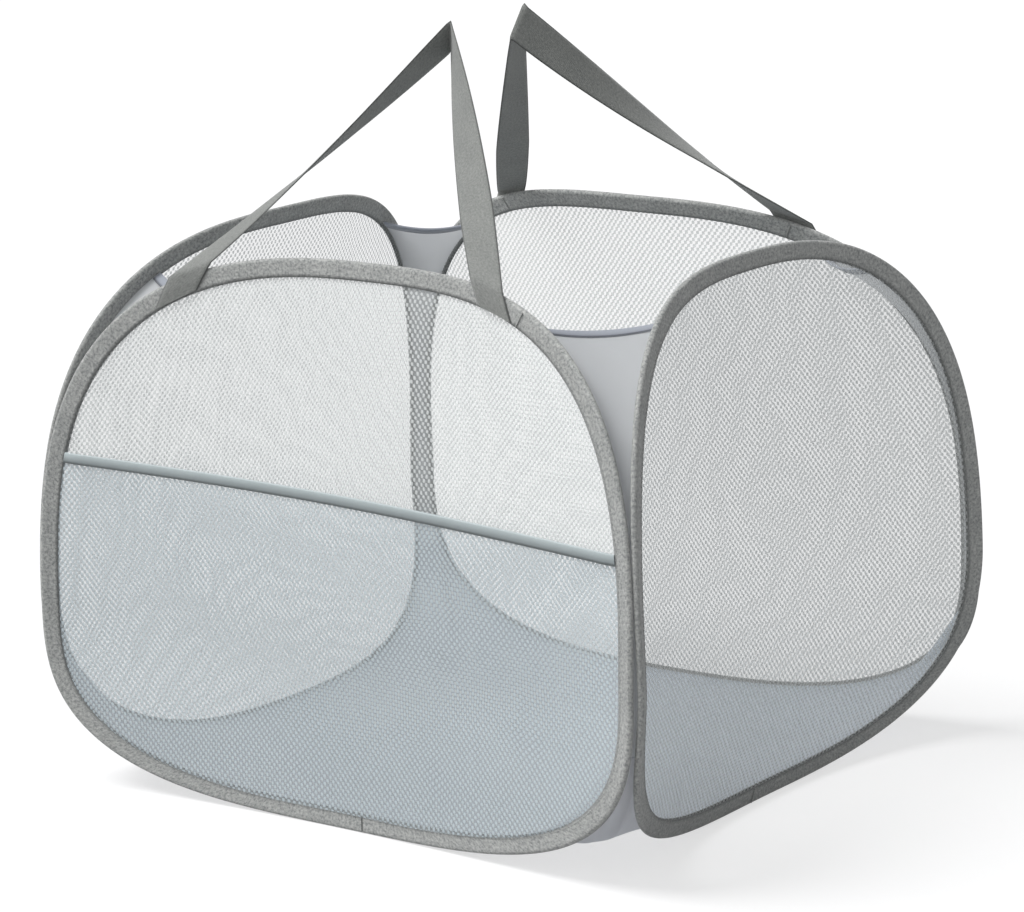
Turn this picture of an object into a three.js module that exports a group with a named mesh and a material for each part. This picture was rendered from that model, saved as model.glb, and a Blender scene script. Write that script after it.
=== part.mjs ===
// Pop up laundry hamper: four spring hoops covered with mesh and edged with folded tape stand as a
// square basket, joined at the corners by seams and gussets, over a soft base, with two webbing handles.
// Millimetres, +Z up, the origin on the floor under the middle of the base, the front facing -Y.
import * as THREE from 'three';

// Size of the standing basket, measured between the planes of opposite corner seams
const basketHeight = 380;
const basketWidth = 506;
const basketDepth = 444;
// Each hoop is widest at this height, where the corner seams hold the hoops together
const waistHeight = 133;
const seamSetback = 4.0;
const hoopRoundness = 2.95;

// How far the corners of the basket hold each hoop out of its plane, inwards. The corner seams press the
// hoops together, so along them each panel turns in more steeply close to its edge.
const middleDrawIn = 25.6;
const seamPinch = 5;
const pinchReach = 14;
const pinchUprightShare = 0.65;
const leanPower = 1.6;
const frontLean = { top: 42, foot: -5.5, topCorner: 22, footCorner: -1.2 };
const sideLean = { top: 32, foot: 27, topCorner: 11, footCorner: -4.5 };

// Spring steel hoop and the crimped sleeve that joins its ends
const wireRadius = 0.75;
const sleeveBoreRadius = 1;
const sleeveRadius = 1.3;
const sleeveLength = 18;
const wireEndGap = 0.4;

// Edge tape, folded over the hoop and the edge of the mesh
const tapeWidth = 12.5;
const tapeThickness = 0.6;
const hoopPocketRadius = 1.6;
const sewnClearance = 0.3;
const legClearance = 0.5;

// Cloths
const meshThickness = 0.9;
const meshEdgeInset = 5.5;
const nylonThickness = 0.8;
const clothSeat = 1.8;

// Mesh pocket on the front panel
const pocketTop = 229;
const pocketFall = 12;
const pocketSlack = 14;
const pocketEdgeGap = 1.3;
const pocketHemHeight = 8;
const pocketHemEndGap = 1.5;

// Base and corner gussets
const gussetFoot = 92;
const gussetTops = { front_right: 354, back_right: 350, back_left: 346, front_left: 350 };
const gussetSag = 5;
const gussetHemHeight = 7;
const baseFlatShare = 0.6;
const baseRisePower = 2.2;

// Webbing handles
const webbingWidth = 25;
const webbingThickness = 1.2;
const handleSpan = 246;
const handleEndWidth = 31;
const handleEndSlant = 8;
const handleEndRise = 0.4;

// How each handle stands: its place along the rim, how far and which way its crease hangs from there, and
// the vector along the crease. Each leg turns towards the crease, the power setting how late, and the
// webbing's edge that starts on the right at the right end ends on the right (1) or left (-1) of the left one.
const frontHandle = {
  offset: -18.8, reach: 213, leanDegrees: 48.5, apexShift: -17.5, bendGap: 1.1,
  crease: { across: 7.4, forward: -10, rise: 23.3 }, turnPowers: { right: 1.9, left: 1 }, leftEdgeSide: 1,
};
const backHandle = {
  offset: -2, reach: 218, leanDegrees: 46.6, apexShift: -1, bendGap: 0.8,
  crease: { across: 5.5, forward: 8.7, rise: -22.7 }, turnPowers: { right: 0.71, left: 1 }, leftEdgeSide: -1,
};

// Counts of steps
const hoopSteps = 44;
const wireSides = 5;
const sleeveSides = 8;
const gussetRows = 9;
const gussetColumns = 6;
const legSteps = 13;

const tapeRadius = hoopPocketRadius + tapeThickness;
const legGap = meshThickness / 2 + legClearance;
const clothInset = tapeWidth + clothSeat;
const clothLift = -(meshThickness / 2 + 2 * sewnClearance + nylonThickness);
const webbingLift = tapeRadius + 2 * sewnClearance + webbingThickness / 2;
const up = new THREE.Vector3(0, 0, 1);

// The four panels. Each is described as seen from outside, u to the right and v up, and turned into place.
const panels = {
  front: { halfWidth: basketWidth / 2 - seamSetback, setback: basketDepth / 2, lean: frontLean, turn: 0 },
  right: { halfWidth: basketDepth / 2 - seamSetback, setback: basketWidth / 2, lean: sideLean, turn: Math.PI / 2 },
  back: { halfWidth: basketWidth / 2 - seamSetback, setback: basketDepth / 2, lean: frontLean, turn: Math.PI },
  left: { halfWidth: basketDepth / 2 - seamSetback, setback: basketWidth / 2, lean: sideLean, turn: -Math.PI / 2 },
};

// Distance from a hoop's waist to its top or foot
function uprightReach(above) {
  return above ? basketHeight - waistHeight : waistHeight;
}

// Share of the pinch at u, v: none on the hoop itself, full a little inside it, fading out above and below
function pinchShare(panel, u, v, uprightShare) {
  if (uprightShare >= pinchUprightShare) return 0;
  const held = (1 - (uprightShare / pinchUprightShare) ** 2) ** 2;
  const fromEdge = Math.max(0, halfWidthAt(panel, v, 0) - Math.abs(u));
  return held * ((u / panel.halfWidth) ** 2 - Math.exp(-fromEdge / pinchReach));
}

// How far the surface of a panel lies inside its plane at u, v
function drawIn(panel, u, v) {
  const above = v > waistHeight;
  const acrossShare = Math.abs(u) / panel.halfWidth;
  const uprightShare = Math.abs(v - waistHeight) / uprightReach(above);
  const lean = above ? panel.lean.top : panel.lean.foot;
  const corner = above ? panel.lean.topCorner : panel.lean.footCorner;
  const middle = middleDrawIn * (1 - acrossShare ** 2);
  const pinch = seamPinch * pinchShare(panel, u, v, uprightShare);
  return lean * uprightShare ** leanPower - corner * (uprightShare * acrossShare) ** 2 + middle + pinch;
}

// Point at u, v on a panel, raised outwards from its surface, before the panel is turned into place
function onPanel(panel, u, v, lift) {
  const step = basketHeight / 4000;
  const rate = (du, dv) => (drawIn(panel, u + du, v + dv) - drawIn(panel, u - du, v - dv)) / (2 * step);
  const normal = new THREE.Vector3(rate(step, 0), -1, rate(0, step)).normalize();
  const point = new THREE.Vector3(u, drawIn(panel, u, v) - panel.setback, v);
  return point.addScaledVector(normal, lift);
}

function turned(panel, point) {
  return point.applyAxisAngle(up, panel.turn);
}

// Point on the hoop's outline, a rounded rectangle given as a superellipse, an inset within its edge.
// reachShare draws the point in along the line to the middle of the hoop.
function onHoop(panel, angle, inset, lift, reachShare = 1) {
  const c = Math.cos(angle);
  const s = Math.sin(angle);
  const across = Math.abs(c) / (panel.halfWidth - inset);
  const upright = Math.abs(s) / (uprightReach(s > 0) - inset);
  const reach = reachShare * (across ** hoopRoundness + upright ** hoopRoundness) ** (-1 / hoopRoundness);
  return onPanel(panel, reach * c, waistHeight + reach * s, lift);
}

// Half width of the hoop's outline at a height, and height of its upper edge at a distance from the middle
function halfWidthAt(panel, height, inset) {
  const share = Math.abs(height - waistHeight) / (uprightReach(height > waistHeight) - inset);
  return (panel.halfWidth - inset) * (1 - share ** hoopRoundness) ** (1 / hoopRoundness);
}

function rimHeight(panel, u, inset) {
  const share = Math.abs(u) / (panel.halfWidth - inset);
  return waistHeight + (uprightReach(true) - inset) * (1 - share ** hoopRoundness) ** (1 / hoopRoundness);
}

// Curve round a hoop between two angles, used to space points evenly along it
class HoopCurve extends THREE.Curve {
  constructor(panel, from, to, inset) {
    super();
    Object.assign(this, { panel, from, to, inset });
  }

  getPoint(t, target = new THREE.Vector3()) {
    return target.copy(onHoop(this.panel, this.from + (this.to - this.from) * t, this.inset, 0));
  }
}

function evenAngles(panel, from, to, steps, inset = 0) {
  const curve = new HoopCurve(panel, from, to, inset);
  const angleAt = (k) => from + (to - from) * curve.getUtoTmapping(k / steps);
  return Array.from({ length: steps + 1 }, (_, k) => angleAt(k));
}

// Angles that start and end at the middle of a hoop's foot
function hoopAngles(panel) {
  return evenAngles(panel, -Math.PI / 2, 1.5 * Math.PI, hoopSteps).slice(0, -1);
}

// Closed body through rows of points. Each row is a closed loop. The rows either close on the first
// one, or end in a cap, which the given triangles fill, or which fans out from a middle point. The
// second half of a sheet is its other face, so its triangles are cut along the same diagonals.
function bodyFromRows(rows, ends) {
  const count = rows[0].length;
  const points = rows.flat();
  const faces = [];
  const bands = ends === 'joined' ? rows.length : rows.length - 1;
  for (let i = 0; i < bands; i += 1) {
    const next = (i + 1) % rows.length;
    for (let j = 0; j < count; j += 1) {
      const k = (j + 1) % count;
      const swapped = ends === 'fanned' ? i >= rows.length / 2 : ends !== 'joined' && j >= count / 2;
      const [a, b, c, d] = [i * count + j, next * count + j, next * count + k, i * count + k];
      faces.push(...(swapped ? [[a, b, d], [b, c, d]] : [[a, b, c], [a, c, d]]));
    }
  }
  if (ends === 'fanned') {
    for (const row of [0, rows.length - 1]) {
      const middle = points.length;
      points.push(middleOf(rows[row]));
      for (let j = 0; j < count; j += 1) {
        const pair = [row * count + j, row * count + ((j + 1) % count)];
        faces.push(row === 0 ? [middle, ...pair] : [middle, ...pair.reverse()]);
      }
    }
  } else if (ends !== 'joined') {
    const last = (rows.length - 1) * count;
    ends.forEach(([a, b, c]) => faces.push([a, b, c], [last + a, last + c, last + b]));
  }
  return closedGeometry(points, faces);
}

function middleOf(points) {
  const sum = points.reduce((total, point) => total.add(point), new THREE.Vector3());
  return sum.divideScalar(points.length);
}

// Geometry of a closed surface, with its faces turned outwards
function closedGeometry(points, faces) {
  const volume = faces.reduce((total, [a, b, c]) => {
    return total + points[a].dot(new THREE.Vector3().crossVectors(points[b], points[c]));
  }, 0);
  const ordered = volume < 0 ? faces.map(([a, b, c]) => [a, c, b]) : faces;
  const geometry = new THREE.BufferGeometry().setFromPoints(points);
  geometry.setIndex(ordered.flat());
  geometry.computeVertexNormals();
  return geometry;
}

// Cap of a section given in its own plane, as triangles between its points
function capOf(section) {
  const flat = section.map(([x, y]) => new THREE.Vector2(x, y));
  const areaOf = (indices) => THREE.ShapeUtils.area(indices.map((k) => flat[k]));
  const facing = Math.sign(THREE.ShapeUtils.area(flat));
  const triangles = THREE.ShapeUtils.triangulateShape(flat, []);
  return triangles.map(([a, b, c]) => (areaOf([a, b, c]) * facing < 0 ? [a, c, b] : [a, b, c]));
}

// Cap of a sheet's row, which runs along one face and back along the other
function sheetCap(columns) {
  const triangles = [];
  for (let j = 0; j < columns; j += 1) {
    const far = 2 * columns + 1 - j;
    triangles.push([j, j + 1, far], [j + 1, far - 1, far]);
  }
  return triangles;
}

function lerpRows(a, b, share) {
  return a.map((point, k) => point.clone().lerp(b[k], share));
}

const colours = { tape: 0x8d918f, mesh: 0xe4e9ea, nylon: 0xa3aeb9, lining: 0xb4b8bc, webbing: 0x8c908e, steel: 0x9a9c9e };

function cloth(colour) {
  return new THREE.MeshStandardMaterial({ color: colour, roughness: 0.85, metalness: 0 });
}

function steel() {
  return new THREE.MeshStandardMaterial({ color: colours.steel, roughness: 0.35, metalness: 1 });
}

const hamper = new THREE.Group();

function addPiece(name, geometry, material, group = hamper) {
  const mesh = new THREE.Mesh(geometry, material);
  mesh.name = name;
  group.add(mesh);
}

// Section of the folded edge tape: round over the hoop, then two legs that hold the mesh between them.
// Each point is an inset from the edge and a lift from the surface.
function tapeSection() {
  const bend = (radius, degrees) => {
    const angle = THREE.MathUtils.degToRad(degrees);
    return [tapeRadius - radius * Math.cos(angle), radius * Math.sin(angle)];
  };
  const outer = [90, 45, 0, -45, -90].map((degrees) => bend(tapeRadius, degrees));
  const inner = [-90, -45, 0, 45, 90].map((degrees) => bend(hoopPocketRadius, degrees));
  const legFace = legGap + tapeThickness;
  const legStart = 2 * tapeRadius;
  return [
    [tapeWidth, legFace], ...outer, [tapeWidth, -legFace],
    [tapeWidth, -legGap], [legStart, -legGap], ...inner, [legStart, legGap], [tapeWidth, legGap],
  ];
}

function bindingGeometry(panel) {
  const section = tapeSection();
  const row = (angle) => section.map(([inset, lift]) => onHoop(panel, angle, inset, lift));
  return bodyFromRows(hoopAngles(panel).map(row), 'joined');
}

// Points of a circle round the hoop's centre line
function wireRow(panel, angle, radius, sides) {
  return Array.from({ length: sides }, (_, k) => {
    const around = (2 * Math.PI * k) / sides;
    return onHoop(panel, angle, tapeRadius + radius * Math.cos(around), radius * Math.sin(around));
  });
}

// The hoop is one length of wire whose ends meet at the middle of the panel's foot
function wireGeometry(panel) {
  const rows = hoopAngles(panel).map((angle) => wireRow(panel, angle, wireRadius, wireSides));
  const stepLength = rows[0][0].distanceTo(rows[1][0]);
  const share = wireEndGap / 2 / stepLength;
  const start = lerpRows(rows[0], rows[1], share);
  const end = lerpRows(rows[0], rows[hoopSteps - 1], share);
  return bodyFromRows([start, ...rows.slice(1), end], 'fanned');
}

// The sleeve is a short tube over both ends of the wire, bent a little with the hoop
function sleeveGeometry(panel) {
  const angles = hoopAngles(panel);
  const ring = (angle, radius) => wireRow(panel, angle, radius, sleeveSides);
  const stepLength = onHoop(panel, angles[0], tapeRadius, 0).distanceTo(onHoop(panel, angles[1], tapeRadius, 0));
  const share = sleeveLength / 2 / stepLength;
  const stations = (radius) => {
    const middle = ring(angles[0], radius);
    const before = lerpRows(middle, ring(angles[hoopSteps - 1], radius), share);
    return [before, middle, lerpRows(middle, ring(angles[1], radius), share)];
  };
  const outside = stations(sleeveRadius);
  const bore = stations(sleeveBoreRadius).reverse();
  return bodyFromRows([...outside, ...bore], 'joined');
}

// Sheet of mesh across a hoop, its edge held between the legs of the tape
function meshGeometry(panel) {
  const angles = hoopAngles(panel);
  const free = tapeWidth + sewnClearance;
  const rings = [[meshEdgeInset, 1], [free, 1], [free, 0.7], [free, 0.35]];
  const side = (lift) => rings.map(([inset, share]) => angles.map((angle) => onHoop(panel, angle, inset, lift, share)));
  const outside = side(meshThickness / 2);
  const inside = side(-meshThickness / 2);
  return bodyFromRows([...outside.reverse(), ...inside], 'fanned');
}

// A strip folded over the top edge of a sheet. frames give, along the edge, a point, the direction up
// the sheet and the direction out of it.
function foldedHem(frames, height, thickness) {
  const slot = thickness / 2 + 1.6 * sewnClearance;
  const face = slot + tapeThickness;
  const crest = sewnClearance + tapeThickness;
  const section = [
    [face, crest - height], [face, 0], [slot, crest], [-slot, crest], [-face, 0], [-face, crest - height],
    [-slot, crest - height], [-slot, sewnClearance], [slot, sewnClearance], [slot, crest - height],
  ];
  const rows = frames.map(({ point, rise, out }) => section.map(([x, y]) => {
    return point.clone().addScaledVector(out, x).addScaledVector(rise, y);
  }));
  return bodyFromRows(rows, capOf(section));
}

// The pocket is a second sheet of mesh over the lower part of the front panel, slack along its top
const pocketSeat = meshThickness + 3 * sewnClearance + tapeThickness;
const pocketInset = tapeWidth + pocketEdgeGap;

// Its top edge is straight, from a higher left end to a lower right end
function pocketEnd(panel, side) {
  const height = pocketTop - (side * pocketFall) / 2;
  return new THREE.Vector2(side * halfWidthAt(panel, height, pocketInset), height);
}

function pocketRim(panel, u) {
  const [left, right] = [pocketEnd(panel, -1), pocketEnd(panel, 1)];
  return THREE.MathUtils.mapLinear(u, left.x, right.x, left.y, right.y);
}

function pocketLift(panel, u, v) {
  const foot = pocketInset;
  const riseShare = Math.max(0, v - foot) / (pocketRim(panel, u) - foot);
  const acrossShare = Math.min(1, Math.abs(u) / Math.abs(pocketEnd(panel, Math.sign(u)).x));
  return pocketSeat + pocketSlack * riseShare ** 2 * (1 - acrossShare ** 2);
}

function pocketGeometry(panel) {
  const arcSteps = 28;
  const topSteps = 14;
  const [left, right] = [pocketEnd(panel, -1), pocketEnd(panel, 1)];
  const middle = new THREE.Vector2(0, waistHeight);
  const startAngle = left.clone().sub(middle).angle();
  const endAngle = right.clone().sub(middle).angle() + 2 * Math.PI;
  const angles = evenAngles(panel, startAngle, endAngle, arcSteps, pocketInset);
  const arc = angles.map((angle) => onHoop(panel, angle, pocketInset, 0));
  const edge = arc.map((point) => new THREE.Vector2(point.x, point.z));
  for (let k = 1; k < topSteps; k += 1) {
    edge.push(right.clone().lerp(left, k / topSteps));
  }
  const ring = (share, side) => edge.map((spot) => {
    const { x: u, y: v } = middle.clone().lerp(spot, share);
    return onPanel(panel, u, v, pocketLift(panel, u, v) + side * (meshThickness / 2));
  });
  const shares = [0.3, 0.65, 1];
  const outside = shares.map((share) => ring(share, 1));
  const inside = shares.map((share) => ring(share, -1)).reverse();
  return bodyFromRows([...outside, ...inside], 'fanned');
}

function pocketHemGeometry(panel) {
  const steps = 14;
  const start = pocketEnd(panel, -1).x + pocketHemEndGap;
  const end = pocketEnd(panel, 1).x - pocketHemEndGap;
  const step = pocketHemHeight / 2;
  const at = (u, below) => {
    const v = pocketRim(panel, u) - below;
    return onPanel(panel, u, v, pocketLift(panel, u, v));
  };
  const frames = Array.from({ length: steps + 1 }, (_, k) => {
    const u = THREE.MathUtils.lerp(start, end, k / steps);
    const rise = at(u, 0).sub(at(u, step)).normalize();
    const along = at(u + step, 0).sub(at(u - step, 0)).normalize();
    return { point: at(u, 0), rise, out: along.cross(rise).normalize() };
  });
  return foldedHem(frames, pocketHemHeight, meshThickness);
}

// Grid of middle points made into a sheet of even thickness
function sheetFromGrid(grid, thickness) {
  const rows = grid.length - 1;
  const columns = grid[0].length - 1;
  const normalAt = (i, j) => {
    const down = grid[Math.min(rows, i + 1)][j].clone().sub(grid[Math.max(0, i - 1)][j]);
    const across = grid[i][Math.min(columns, j + 1)].clone().sub(grid[i][Math.max(0, j - 1)]);
    return across.cross(down).normalize();
  };
  const raised = (i, j, lift) => grid[i][j].clone().addScaledVector(normalAt(i, j), lift);
  const loops = grid.map((row, i) => {
    const near = row.map((_, j) => raised(i, j, thickness / 2));
    const far = row.map((_, j) => raised(i, j, -thickness / 2)).reverse();
    return [...near, ...far];
  });
  return bodyFromRows(loops, sheetCap(columns));
}

// Point where a cloth that is sewn inside a panel meets it, on its left or right edge at a height
function clothEdge(panel, side, height) {
  const u = side * halfWidthAt(panel, height, clothInset);
  return turned(panel, onPanel(panel, u, height, clothLift));
}

// A gusset fills the corner between two hoops, narrow down the corner seam and wide under its hem.
// share runs from the hoop on its left, seen from outside, to the hoop on its right.
function gussetPoint({ first, second, top }, height, share) {
  const point = clothEdge(first, 1, height).lerp(clothEdge(second, -1, height), share);
  const riseShare = (height - gussetFoot) / (top - gussetFoot);
  point.z -= gussetSag * riseShare ** 4 * 4 * share * (1 - share);
  return point;
}

function gussetGeometry(corner) {
  const foot = gussetFoot + nylonThickness;
  const grid = Array.from({ length: gussetRows + 1 }, (_, i) => {
    const height = corner.top - (corner.top - foot) * (i / gussetRows) ** 1.4;
    return Array.from({ length: gussetColumns + 1 }, (_, j) => gussetPoint(corner, height, j / gussetColumns));
  });
  return sheetFromGrid(grid, nylonThickness);
}

function gussetHemGeometry(corner) {
  const steps = gussetColumns;
  const endShare = 0.05;
  const frames = Array.from({ length: steps + 1 }, (_, k) => {
    const share = Math.min(1 - endShare, Math.max(endShare, k / steps));
    const at = (below, s) => gussetPoint(corner, corner.top - below, s);
    const rise = at(0, share).sub(at(gussetHemHeight, share)).normalize();
    const along = at(0, share + endShare).sub(at(0, share - endShare)).normalize();
    return { point: at(0, share), rise, out: along.cross(rise).normalize() };
  });
  return foldedHem(frames, gussetHemHeight, nylonThickness);
}

// The base lies flat on the floor, lifts to the foot of each hoop and stands up in a point at each corner
function baseGeometry() {
  const arcSteps = 10;
  const edge = Object.values(panels).flatMap((panel) => {
    const endAngle = Math.atan2(waistHeight - gussetFoot, halfWidthAt(panel, gussetFoot, clothInset));
    const angles = evenAngles(panel, Math.PI + endAngle, 2 * Math.PI - endAngle, arcSteps, clothInset);
    return angles.map((angle) => turned(panel, onHoop(panel, angle, clothInset, clothLift)));
  });
  const floor = nylonThickness / 2;
  const middleAt = (share) => edge.map(({ x, y, z }) => {
    const rise = Math.max(0, (share - baseFlatShare) / (1 - baseFlatShare)) ** baseRisePower;
    return new THREE.Vector3(x * share, y * share, floor + (z - floor) * rise);
  });
  const shares = [0.35, baseFlatShare, 0.8, 0.87, 0.92, 0.96, 1];
  const rings = shares.map(middleAt);
  const side = (sign) => rings.map((ring, i) => ring.map((point, j) => {
    const before = rings[Math.max(0, i - 1)][j];
    const outwards = (rings[i + 1] ?? ring)[j].clone().sub(before);
    const neighbours = [ring.at(j - 1), ring[(j + 1) % ring.length]];
    const normal = outwards.cross(neighbours[1].clone().sub(neighbours[0])).normalize();
    const flat = shares[i] <= baseFlatShare ? up : normal;
    return point.clone().addScaledVector(flat, sign * floor);
  }));
  return bodyFromRows([...side(1), ...side(-1).reverse()], 'fanned');
}

// End of a handle, sewn flat over the outside of the tape. side is 1 for the right one, seen from outside.
function handleEndAt(panel, offset, side, across, inset, lift) {
  const slant = (side * handleEndSlant * (inset + handleEndRise)) / tapeWidth;
  const u = offset + (side * handleSpan) / 2 + across * handleEndWidth / 2 + slant;
  return onPanel(panel, u, rimHeight(panel, u, inset), lift);
}

function handleEndGeometry(panel, { offset }, side) {
  const overWire = webbingLift;
  const overLeg = legGap + tapeThickness + 1.5 * sewnClearance + webbingThickness / 2;
  const rows = [[-handleEndRise, overWire], [tapeRadius, overWire], [tapeWidth - handleEndRise, overLeg]];
  const columns = [-1, -0.5, 0, 0.5, 1];
  const at = (across, [inset, lift]) => handleEndAt(panel, offset, side, across, inset, lift);
  const grid = rows.map((row) => columns.map((across) => at(across, row)));
  return sheetFromGrid(grid, webbingThickness);
}

// Leg of a handle from its sewn end to the crease at the top: middle points, and the vector across the
// webbing, which turns about the leg so that the webbing keeps its width. All share one run direction.
function legStations(start, startAcross, crease, creaseAcross, turnPower) {
  const run = crease.clone().sub(start).normalize();
  const squared = (vector) => vector.clone().addScaledVector(run, -vector.dot(run)).normalize();
  const first = squared(startAcross);
  const last = squared(creaseAcross);
  const turn = Math.atan2(new THREE.Vector3().crossVectors(first, last).dot(run), first.dot(last));
  return Array.from({ length: legSteps + 1 }, (_, k) => {
    const share = k / legSteps;
    const turned = turn * share ** turnPower;
    const across = first.clone().applyAxisAngle(run, turned).multiplyScalar(webbingWidth / 2);
    across.addScaledVector(run, startAcross.dot(run) * Math.max(0, 1 - 3 * share));
    across.addScaledVector(run, creaseAcross.dot(run) * Math.max(0, 3 * share - 2));
    return { middle: start.clone().lerp(crease, share), across, run };
  });
}

// The webbing runs from its right end over the crease to its left end, turning over in the left leg
function handleGeometry(panel, shape) {
  const { offset, reach, leanDegrees, apexShift, bendGap, crease, turnPowers, leftEdgeSide } = shape;
  const inset = -handleEndRise - bendGap - webbingThickness / 2;
  const end = (side, across) => handleEndAt(panel, offset, side, across, inset, webbingLift);
  const lean = THREE.MathUtils.degToRad(leanDegrees);
  const apex = end(1, 0).lerp(end(-1, 0), 0.5);
  apex.add(new THREE.Vector3(apexShift, reach * Math.sin(lean), reach * Math.cos(lean)));
  const halfCrease = new THREE.Vector3(crease.across, crease.forward, crease.rise).divideScalar(2);
  const halfEnd = (side) => end(side, 1).sub(end(side, -1)).divideScalar(2);
  const rightLeg = legStations(end(1, 0), halfEnd(1), apex, halfCrease, turnPowers.right);
  const leftAcross = halfEnd(-1).multiplyScalar(leftEdgeSide);
  const leftLeg = legStations(end(-1, 0), leftAcross, apex, halfCrease, turnPowers.left).reverse();
  leftLeg[0].run.negate();
  const faceOf = ({ across, run }) => new THREE.Vector3().crossVectors(across, run).normalize();
  const thick = webbingThickness / 2;
  const stations = [...rightLeg.slice(0, -1), { ...rightLeg.at(-1), last: true }, ...leftLeg.slice(1)];
  const rows = stations.map((station) => {
    let face = faceOf(station);
    if (station.last) {
      const other = faceOf(leftLeg[0]);
      const half = face.clone().add(other).normalize();
      face = half.divideScalar(Math.max(half.dot(face), 0.5));
    }
    const corners = [[-1, -1], [1, -1], [1, 1], [-1, 1]];
    return corners.map(([a, f]) => {
      return station.middle.clone().addScaledVector(station.across, a).addScaledVector(face, f * thick);
    });
  });
  return bodyFromRows(rows, [[0, 1, 2], [0, 2, 3]]);
}

// Pieces of one panel, built as seen from outside and turned into place together
for (const [name, panel] of Object.entries(panels)) {
  const group = new THREE.Group();
  group.rotation.z = panel.turn;
  hamper.add(group);
  addPiece(`${name}_mesh`, meshGeometry(panel), cloth(colours.mesh), group);
  addPiece(`${name}_binding`, bindingGeometry(panel), cloth(colours.tape), group);
  addPiece(`${name}_hoop_wire`, wireGeometry(panel), steel(), group);
  addPiece(`${name}_wire_sleeve`, sleeveGeometry(panel), steel(), group);
  if (name === 'front') {
    addPiece('front_pocket_mesh', pocketGeometry(panel), cloth(colours.mesh), group);
    addPiece('front_pocket_hem', pocketHemGeometry(panel), cloth(colours.nylon), group);
  }
  if (name === 'front' || name === 'back') {
    const shape = name === 'front' ? frontHandle : backHandle;
    addPiece(`${name}_handle`, handleGeometry(panel, shape), cloth(colours.webbing), group);
    addPiece(`${name}_handle_left_end`, handleEndGeometry(panel, shape, -1), cloth(colours.webbing), group);
    addPiece(`${name}_handle_right_end`, handleEndGeometry(panel, shape, 1), cloth(colours.webbing), group);
  }
}

// Corner pieces, each between the panel on its left and the panel on its right, seen from outside
const corners = [
  ['front_right', panels.front, panels.right],
  ['back_right', panels.right, panels.back],
  ['back_left', panels.back, panels.left],
  ['front_left', panels.left, panels.front],
];
for (const [name, first, second] of corners) {
  const corner = { first, second, top: gussetTops[name] };
  addPiece(`${name}_gusset`, gussetGeometry(corner), cloth(colours.lining));
  addPiece(`${name}_gusset_hem`, gussetHemGeometry(corner), cloth(colours.nylon));
}

addPiece('base_fabric', baseGeometry(), cloth(colours.nylon));

export default hamper;
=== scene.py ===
"""Pop up laundry hamper: mesh panels on spring hoops, edged with folded tape, round a soft nylon base."""
import math

import bpy
import numpy as np
from mathutils import Matrix, Vector


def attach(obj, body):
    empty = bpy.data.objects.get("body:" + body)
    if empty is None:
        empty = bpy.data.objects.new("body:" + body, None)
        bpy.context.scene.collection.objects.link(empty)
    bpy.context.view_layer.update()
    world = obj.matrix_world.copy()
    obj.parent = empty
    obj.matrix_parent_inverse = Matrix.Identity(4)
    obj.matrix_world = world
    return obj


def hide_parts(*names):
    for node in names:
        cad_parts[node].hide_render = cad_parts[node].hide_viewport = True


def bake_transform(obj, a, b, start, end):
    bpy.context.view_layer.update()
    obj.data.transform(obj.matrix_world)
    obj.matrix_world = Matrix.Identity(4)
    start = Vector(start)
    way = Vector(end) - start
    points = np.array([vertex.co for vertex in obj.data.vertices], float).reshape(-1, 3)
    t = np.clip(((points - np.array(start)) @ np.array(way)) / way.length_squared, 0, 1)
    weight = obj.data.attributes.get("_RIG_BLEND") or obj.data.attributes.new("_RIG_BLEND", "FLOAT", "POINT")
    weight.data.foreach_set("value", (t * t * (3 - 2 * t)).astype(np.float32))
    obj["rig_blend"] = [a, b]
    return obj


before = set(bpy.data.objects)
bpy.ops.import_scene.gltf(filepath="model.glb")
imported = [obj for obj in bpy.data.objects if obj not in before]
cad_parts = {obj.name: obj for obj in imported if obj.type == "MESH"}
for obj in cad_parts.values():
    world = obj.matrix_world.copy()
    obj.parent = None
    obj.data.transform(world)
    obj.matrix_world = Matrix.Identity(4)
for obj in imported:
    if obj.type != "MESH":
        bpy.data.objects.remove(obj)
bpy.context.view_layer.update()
scene = bpy.context.scene

# ---- The photograph's set: a long lens a little above the rim, a white studio floor without a horizon,
# a large soft light from the upper left, a weak one from the front and plain white light all round.

FOCAL_LENGTH_PIXELS = 4033.8
PHOTO_WIDTH_PIXELS = 1024
SENSOR_WIDTH = 36.0
CAMERA_ANGLES = (36.062, 13.119, -1.349)
OBJECT_MIDDLE = np.array([0, 0, 0.19])
MIDDLE_FROM_CAMERA = 0.00095 * np.array([1.71, -28.042, -2986.831])
LAMPS = (
    ("key_light", 2.8, 30, (-0.54, -0.38, 1.14)),
    ("fill_light", 0.85, 70, (0.10, -0.90, 0.42)),
)
ROOM_STRENGTH = 0.33
ROOM_COLOUR = (0.97, 0.985, 1.0, 1.0)
FLOOR_RADIUS = 24
FLOOR_BOUNCE = (0.37, 0.37, 0.375)
FLOOR_GLOW = 0.62

camera_data = bpy.data.cameras.new("studio_camera")
camera = bpy.data.objects.new("studio_camera", camera_data)
scene.collection.objects.link(camera)
scene.camera = camera
camera_data.sensor_width = SENSOR_WIDTH
camera_data.lens = FOCAL_LENGTH_PIXELS / PHOTO_WIDTH_PIXELS * SENSOR_WIDTH
camera_data.clip_end = 60


def camera_axes(azimuth, elevation, roll):
    """Right, up and back of a camera that is azimuth degrees round the object, elevation above it, rolled."""
    a, e, r = (math.radians(x) for x in (azimuth, elevation, roll))
    back = np.array([math.sin(a) * math.cos(e), -math.cos(a) * math.cos(e), math.sin(e)])
    right = np.array([math.cos(a), math.sin(a), 0.0])
    up = np.cross(back, right)
    return np.array([math.cos(r) * right + math.sin(r) * up, math.cos(r) * up - math.sin(r) * right, back])


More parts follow.
